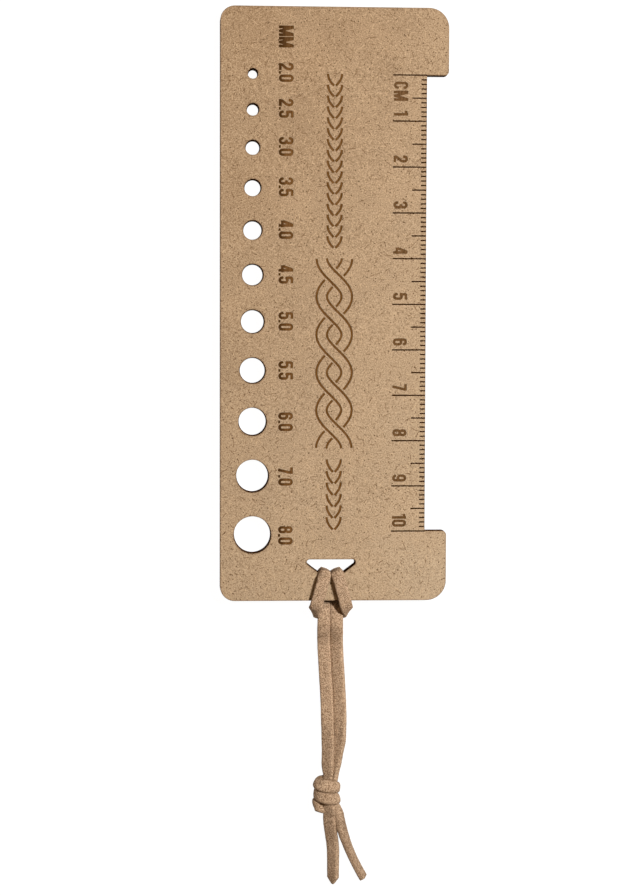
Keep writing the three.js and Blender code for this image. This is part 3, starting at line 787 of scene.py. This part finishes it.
def plate_mesh():
    loops, centres = plate_loops()
    xs, ys = (np.arange(*ends, GRID) + GRID_SHIFT for ends in (ENGRAVED_X, ENGRAVED_Y))
    field = stroke_field(label_strokes(centres) + motif_strokes(), xs, ys)
    engraved = [simplified(loop, 0.008) for loop in contours(field, xs, ys) if len(loop) > 8]
    marks = mark_boxes()
    rings = [inset(loop, distance) for loop in loops for distance in (BEVEL, SCORCH)]
    points, triangles, _ = triangulated([], [], loops + rings + engraved + marks)
    centroids = points[triangles].mean(axis=1)
    kept = inside_loops(centroids, loops)
    triangles, centroids = triangles[kept], centroids[kept]
    marked = np.any([inside_loops(centroids, [box]) for box in marks], axis=0)
    kinds = np.where(marked, MARKED, np.where(inside_loops(centroids, engraved), ENGRAVED, BARE))
    edge_distance = distance_to_loops(points, loops)
    top = PLATE_THICKNESS - np.clip(BEVEL - edge_distance, 0, BEVEL)

    vertices, index, scorch = [], {}, []

    def vertex(point, level):
        """level is "top", "floor" or "foot" (the back's bevelled edge)."""
        key = (point, level)
        if key not in index:
            x, y = points[point] + (lean[point] if level == "foot" else 0)
            z = {"top": top[point], "floor": PLATE_THICKNESS - ENGRAVED_DEPTH, "foot": BEVEL}[level]
            index[key] = len(vertices)
            vertices.append((x, y, z))
            scorch.append(max(0.0, 1 - edge_distance[point] / SCORCH))
        return index[key]

    faces, materials, neighbours = [], [], {}
    for triangle, kind in zip(triangles, kinds):
        level = "top" if kind == BARE else "floor"
        triangle = facing(points, triangle, True)
        faces.append([vertex(p, level) for p in triangle])
        materials.append(kind)
        for p, q in zip(triangle, triangle[1:] + triangle[:1]):
            neighbours.setdefault((min(p, q), max(p, q)), []).append((p, q, level, kind))
    rim_levels, rim_edges = {}, []
    for uses in neighbours.values():
        if len(uses) == 1:
            p, q, level, _ = uses[0]
            rim_edges.append((p, q, level))
            for end in (p, q):
                rim_levels.setdefault(end, set()).add(level)
        elif uses[0][2] != uses[1][2]:
            p, q, *_ = next(use for use in uses if use[2] == "top")
            faces.append([vertex(q, "top"), vertex(p, "top"), vertex(p, "floor"), vertex(q, "floor")])
            materials.append(max(use[3] for use in uses))
    rim_points = sorted({end for p, q, _ in rim_edges for end in (p, q)})
    outward = {p: np.zeros(2) for p in rim_points}
    for p, q, _ in rim_edges:
        along = (points[q] - points[p]) / norm(points[q] - points[p])
        for end in (p, q):
            outward[end] += (along[1], -along[0])
    from_rim = distance_to_loops(points[rim_points], loops[:1])
    lean = {
        p: (RIM_LEAN if gap < 1e-3 else KERF_LEAN) * 2 * outward[p] / (outward[p] @ outward[p])
        for p, gap in zip(rim_points, from_rim)
    }
    for p, q, level in rim_edges:
        wall = [vertex(q, level), vertex(p, level)]
        if level == "top" and "floor" in rim_levels[p]:
            wall.append(vertex(p, "floor"))
        wall += [vertex(p, "foot"), vertex(q, "foot")]
        if level == "top" and "floor" in rim_levels[q]:
            wall.append(vertex(q, "floor"))
        faces.append(wall)
        materials.append(CHARRED)

    # Back: the same rim, and a bevel ring inside it
    place = {p: k for k, p in enumerate(rim_points)}
    leans = [RIM_LEAN] + [KERF_LEAN] * (len(loops) - 1)
    back_points, back_triangles, origins = triangulated(
        [Vector(points[p] + lean[p]) for p in rim_points],
        [(place[p], place[q]) for p, q, _ in rim_edges],
        [inset(loop, BEVEL - out) for loop, out in zip(loops, leans)],
    )
    back_loops = [inset(loop, -out) for loop, out in zip(loops, leans)]
    back_triangles = back_triangles[inside_loops(back_points[back_triangles].mean(axis=1), back_loops)]
    back_index = []
    for point, source in zip(back_points, origins):
        rim = [s for s in source if s < len(rim_points)]
        back_index.append(vertex(rim_points[rim[0]], "foot") if rim else len(vertices))
        if not rim:
            vertices.append((*point, 0.0))
            scorch.append(0.7)
    faces += [[back_index[p] for p in facing(back_points, triangle, False)] for triangle in back_triangles]
    materials += [BARE] * len(back_triangles)

    sin, cos = math.sin(TILT), math.cos(TILT)
    back, rise = -PLATE_THICKNESS / 2 * sin, PLATE_LENGTH / 2 * sin
    placed = [
        (x * MM, (y * cos + z * sin + back) * MM, (z * cos - y * sin + rise) * MM) for x, y, z in vertices
    ]
    mesh = bpy.data.meshes.new("plate_board")
    mesh.from_pydata(placed, [], faces)
    mesh.polygons.foreach_set("material_index", materials)
    mesh.attributes.new("scorch", "FLOAT", "POINT").data.foreach_set("value", scorch)
    mesh.update()
    return mesh


plate = add_piece(plate_mesh(), "fibreboard", "gauge_plate")


# Materials

class Nodes:
    """Short calls for building one material's nodes."""

    def __init__(self, name):
        self.material = bpy.data.materials.new(name)
        self.material.use_nodes = True
        self.tree = self.material.node_tree
        self.shader = self.tree.nodes["Principled BSDF"]

    def put(self, socket, value):
        if isinstance(value, bpy.types.NodeSocket):
            self.tree.links.new(value, socket)
        else:
            socket.default_value = value

    def add(self, kind, inputs, **settings):
        """A node with these settings, and each of these inputs linked or set."""
        node = self.tree.nodes.new("ShaderNode" + kind)
        for key, value in settings.items():
            setattr(node, key, value)
        for key, value in inputs.items():
            self.put(node.inputs[key], value)
        return node

    def surface(self, colour, roughness, specular=0.5, **more):
        basic = {"Base Color": colour, "Roughness": roughness, "Specular IOR Level": specular}
        for key, value in {**basic, **more}.items():
            self.put(self.shader.inputs[key.replace("_", " ")], value)

    def math(self, operation, a, b=0.0, c=0.0):
        return self.add("Math", {0: a, 1: b, 2: c}, operation=operation).outputs[0]

    def times(self, a, b):
        return self.math("MULTIPLY", a, b)

    def vector_math(self, operation, a, b):
        return self.add("VectorMath", {0: a, 1: b}, operation=operation).outputs[0]

    def scaled(self, vector, scale):
        return self.add("VectorMath", {0: vector, "Scale": scale}, operation="SCALE").outputs[0]

    def ramp(self, value, low, high, to_low=0.0, to_high=1.0, kind="SMOOTHSTEP"):
        inputs = dict(enumerate((value, low, high, to_low, to_high)))
        return self.add("MapRange", inputs, interpolation_type=kind).outputs[0]

    def mix(self, factor, a, b):
        return self.add("Mix", {0: factor, 6: a, 7: b}, data_type="RGBA").outputs[2]

    def noise(self, vector, scale, detail=2.0, roughness=0.5, output=0):
        inputs = {"Vector": vector, "Scale": scale, "Detail": detail, "Roughness": roughness}
        return self.add("TexNoise", inputs, noise_dimensions="3D").outputs[output]

    def millimetres(self):
        return self.scaled(self.add("TexCoord", {}).outputs["Object"], 1000.0)

    def axes(self, vector):
        return self.add("SeparateXYZ", {0: vector}).outputs

    def attribute(self, name):
        return self.add("Attribute", {}, attribute_name=name).outputs["Fac"]

    def bump(self, height, distance, strength):
        bump = self.add("Bump", {"Height": height, "Distance": distance, "Strength": strength})
        self.put(self.shader.inputs["Normal"], bump.outputs[0])

    def cells(self, vector, size, share):
        """Cells of that size, a random number for each, and whether it is one of that share."""
        inputs = {"Vector": vector, "Scale": 1.0 / size}
        cells = self.add("TexVoronoi", inputs, voronoi_dimensions="2D").outputs
        dice = self.add("TexWhiteNoise", {"Vector": cells["Position"]}, noise_dimensions="3D").outputs[0]
        return cells, dice, self.math("LESS_THAN", dice, share)

    def fibres(self, vector, cell, length, width, bend, seed, share):
        """One short curved fibre in some cells of that size, as a mask from 0 to 1."""
        shifted = self.vector_math("ADD", vector, (seed * 3.1, seed * -7.3, 0.0))
        cells, _, chosen = self.cells(shifted, cell, share)
        turn, bow, size = self.add("SeparateColor", {0: cells["Color"]}).outputs
        local = self.vector_math("SUBTRACT", shifted, cells["Position"])
        turned = {"Vector": local, "Angle": self.times(turn, 6.2832)}
        u, v, _ = self.axes(self.add("VectorRotate", turned, rotation_type="Z_AXIS").outputs[0])
        curve = self.times(self.math("SUBTRACT", bow, 0.5), bend / cell)
        bowed = self.math("MULTIPLY_ADD", self.times(u, u), curve, v)
        reach = self.ramp(size, 0, 1, length * 0.35, length, "LINEAR")
        ends = self.math("DIVIDE", self.math("ABSOLUTE", u), reach)
        body = self.ramp(self.math("ABSOLUTE", bowed), width * 0.25, width, 1, 0)
        mask = self.times(body, self.ramp(ends, 0.6, 1.0, 1, 0))
        return self.times(mask, chosen)

    def specks(self, vector, cell, radius, share):
        """A dot of up to that radius in some cells of that size, as a mask from 0 to 1."""
        cells, dice, chosen = self.cells(vector, cell, share)
        reach = self.ramp(dice, 0, share, 0.5 * radius / cell, radius / cell, "LINEAR")
        mask = self.ramp(self.math("DIVIDE", cells["Distance"], reach), 0.5, 1.0, 1, 0)
        return self.times(mask, chosen)


BOARD_GRAIN = (3.9, 3, 0.7)  # noise scale, detail and roughness
# The first two are the board's painted shade and painted light, towards its top left and towards its bottom
# right
BOARD_PAINTED_SHADE, BOARD_PAINTED_LIGHT = (0.228, 0.142, 0.073, 1), (0.335, 0.246, 0.155, 1)
BOARD_WARM, BOARD_FLECKS, BOARD_SCORCH = (0.278, 0.191, 0.111, 1), (0.29, 0.229, 0.156), (0.13, 0.07, 0.032, 1)


def fibreboard_colour(n, mm):
    """Raw board: warm tan with fine grain, soft blotches, and dark and pale fibres, over painted shade and
    light.
    """
    warp = n.noise(mm, 0.9, output=1)
    bent = n.vector_math("ADD", mm, n.scaled(n.vector_math("SUBTRACT", warp, (0.5, 0.5, 0.5)), 0.5))
    grain = n.noise(mm, *BOARD_GRAIN)
    blotch = n.noise(mm, 0.12, 3, 0.55)
    warmth = n.noise(mm, 0.06)
    x, y, _ = n.axes(mm)
    # Painted light: the board shaded towards the top left and lit towards the bottom right
    slope = n.math("MULTIPLY_ADD", y, -0.0055, n.times(x, 0.008))
    base = n.mix(n.ramp(slope, -0.55, 0.55, 0, 1, "LINEAR"), BOARD_PAINTED_SHADE, BOARD_PAINTED_LIGHT)
    base = n.mix(n.times(n.ramp(warmth, 0.35, 0.65), 0.4), base, BOARD_WARM)
    shade = n.math("MULTIPLY_ADD", n.math("SUBTRACT", blotch, 0.5), 0.3, 1.0)
    flecks = n.scaled(BOARD_FLECKS, n.times(n.math("SUBTRACT", grain, 0.5), 2.35))
    colour = n.vector_math("ADD", n.scaled(base, shade), flecks)
    dark = n.fibres(bent, 2.3, 1.0, 0.11, 1.2, 1, 0.6)
    pale = n.fibres(bent, 2.1, 0.85, 0.11, 1.2, 4, 0.7)
    for mask, strength, tint in (
        (n.fibres(bent, 1.1, 0.42, 0.09, 1.0, 5, 0.8), 0.5, (0.41, 0.285, 0.165, 1)),
        (pale, 0.6, (0.45, 0.315, 0.185, 1)),
        (n.fibres(bent, 1.3, 0.5, 0.08, 1.5, 2, 0.8), 0.55, (0.135, 0.072, 0.03, 1)),
        (dark, 0.85, (0.11, 0.055, 0.02, 1)),
        (n.specks(bent, 0.9, 0.19, 0.4), 0.95, (0.075, 0.036, 0.012, 1)),
    ):
        colour = n.mix(n.times(mask, strength), colour, tint)
    return colour, grain, dark, pale


def board_material():
    n = Nodes("fibreboard")
    colour, grain, dark, pale = fibreboard_colour(n, n.millimetres())
    scorch = n.times(n.math("POWER", n.attribute("scorch"), 2.2), 0.62)
    n.surface(n.mix(scorch, colour, BOARD_SCORCH), 0.82, 0.3)
    n.bump(n.math("ADD", grain, n.times(n.math("SUBTRACT", pale, dark), 0.5)), 0.00004, 0.7)
    return n.material


FIGURES = (0.134, 0.064, 0.023, 1), (0.079, 0.037, 0.012, 1), (0.037, 0.016, 0.005, 1)
MARKS = (0.032, 0.009, 0.001, 1), (0.012, 0.003, 0.0005, 1), (0.012, 0.003, 0.0005, 1)
UNIT_FROM_Y, SCALE_FROM_X, SCALE_TINT = 54.0, 8.0, (0.93, 1.03, 1.24, 1)


def engraved_material(name, light, dark, foot_colour):
    """Burnt board: darkest at the feet of the figures beside the holes, and at the unit above them."""
    n = Nodes(name)
    mm = n.millimetres()
    grain = n.noise(mm, *BOARD_GRAIN)
    x, y, _ = n.axes(mm)
    foot = n.times(n.ramp(x, -11.9, -10.2, 1, 0), n.math("GREATER_THAN", x, -12.3))
    raster = n.noise(n.vector_math("MULTIPLY", mm, (5.0, 0.8, 1.0)), 1.0)
    burn = n.mix(n.ramp(raster, 0.3, 0.7), dark, light)
    burn = n.mix(n.times(foot, 0.8), burn, foot_colour)
    burn = n.scaled(burn, n.math("MULTIPLY_ADD", n.math("GREATER_THAN", y, UNIT_FROM_Y), -0.22, 1.0))
    tint = n.mix(n.math("GREATER_THAN", x, SCALE_FROM_X), (1, 1, 1, 1), SCALE_TINT)
    n.surface(n.vector_math("MULTIPLY", burn, tint), 1.0, 0.0)
    n.bump(n.math("ADD", grain, raster), 0.00006, 0.8)
    return n.material


def charred_material():
    n = Nodes("charred_edge")
    streak = n.noise(n.vector_math("MULTIPLY", n.millimetres(), (2.0, 2.0, 0.35)), 1.0, 4, 0.6)
    colour = n.mix(n.ramp(streak, 0.3, 0.72), (0.026, 0.011, 0.005, 1), (0.08, 0.036, 0.014, 1))
    n.surface(colour, 1.0, 0.0)
    n.bump(streak, 0.00008, 0.8)
    return n.material


SUEDE_DARK, SUEDE_DARKER, SUEDE_PALE = (0.17, 0.104, 0.059, 1), (0.14, 0.084, 0.046, 1), (0.43, 0.305, 0.202, 1)
# The last two are painted shade: over the right tail, and in the knot's creases
SUEDE_CUT, SUEDE_TAIL_SHADE, SUEDE_CREASE_SHADE = (0.4, 0.285, 0.19, 1), (0.09, 0.05, 0.027, 1), (0.1, 0.055, 0.026, 1)
SUEDE_SHEEN = (0.5, 0.3, 0.18, 1)


def suede_material():
    """Short matte nap, paler along the strands and on the cut edges, with painted shade over the right tail and
    in the knot's creases.
    """
    n = Nodes("suede")
    mm = n.millimetres()
    speckle = n.noise(mm, 4.0, 3, 0.7)
    tuft = n.noise(mm, 1.1, 3, 0.6)
    cloud = n.noise(mm, 0.22)
    dark = n.mix(n.ramp(cloud, 0.35, 0.65), SUEDE_DARKER, SUEDE_DARK)
    colour = n.mix(n.ramp(speckle, 0.4, 0.6), dark, SUEDE_PALE)
    colour = n.scaled(colour, n.math("MULTIPLY_ADD", n.math("SUBTRACT", tuft, 0.5), 0.7, 1.0))
    colour = n.mix(n.times(n.attribute("cut"), 0.12), colour, SUEDE_CUT)
    x, y, _ = n.axes(mm)
    # Painted shade over the right tail, strongest next to the knot and lighter towards its end
    painted_tail_shade = n.times(n.ramp(x, 1.9, 2.9), n.ramp(y, -113.5, -111.5, 1, 0))
    painted_tail_shade = n.times(painted_tail_shade, n.ramp(y, -124, -114, 0.16, 0.34))
    colour = n.mix(painted_tail_shade, colour, SUEDE_TAIL_SHADE)
    lightened = n.times(n.ramp(y, -97, -90), n.ramp(y, -70, -67, 1, 0))
    colour = n.scaled(colour, n.math("MULTIPLY_ADD", lightened, 0.11, 1.0))
    # Painted shade in the knot's creases
    colour = n.mix(n.times(n.attribute("crease_shade"), 0.6), colour, SUEDE_CREASE_SHADE)
    n.surface(colour, 0.95, 0.1, Sheen_Weight=0.12, Sheen_Tint=SUEDE_SHEEN, Sheen_Roughness=0.55)
    n.bump(n.math("ADD", speckle, n.times(tuft, 0.8)), 0.00012, 0.9)
    return n.material


for material in (
    board_material(), engraved_material("engraved_figures", *FIGURES),
    engraved_material("engraved_marks", *MARKS), charred_material(),
):
    plate.data.materials.append(material)
suede = suede_material()
for lace in laces:
    lace.data.materials.append(suede)


# Studio

LIT_PLACE, FLOOR_HALF, FLOOR_DEPTH = Vector((0, -0.03, 0)), 3.0, -0.00002
FLOOR_GREY, FILL_COLOUR, FILL_STRENGTH = (0.06, 0.06, 0.06, 1), (1, 0.58, 0.26, 1), 0.11
LIGHTS = (  # name, place, size, power, colour
    ("key", (0.27, 0.13, 0.55), 0.1, 6.4, (1, 1, 1)),
    ("top", (-0.1, 0.05, 0.9), 0.6, 1.2, (1, 0.76, 0.52)),
)


def add_studio():
    scene = bpy.context.scene
    scene.view_settings.view_transform = "Standard"
    scene.world = bpy.data.worlds.new("studio")
    scene.world.use_nodes = True
    fill = scene.world.node_tree.nodes["Background"].inputs
    fill[0].default_value, fill[1].default_value = FILL_COLOUR, FILL_STRENGTH
    mesh = bpy.data.meshes.new("floor")
    corners = [(x * FLOOR_HALF, y * FLOOR_HALF, FLOOR_DEPTH) for x, y in ((-1, -1), (1, -1), (1, 1), (-1, 1))]
    mesh.from_pydata(corners, [], [(0, 1, 2, 3)])
    n = Nodes("floor")
    n.surface(FLOOR_GREY, 0.9, Emission_Color=(1, 1, 1, 1), Emission_Strength=0.985)
    mesh.materials.append(n.material)
    floor = add_object("floor", mesh)
    for name, place, size, power, colour in LIGHTS:
        data = bpy.data.lights.new(name, "AREA")
        data.shape, data.size, data.energy, data.color = "DISK", size, power, colour
        turn = (Vector(place) - LIT_PLACE).to_track_quat("Z", "Y").to_matrix().to_4x4()
        add_object(name, data).matrix_world = Matrix.Translation(place) @ turn


add_studio()
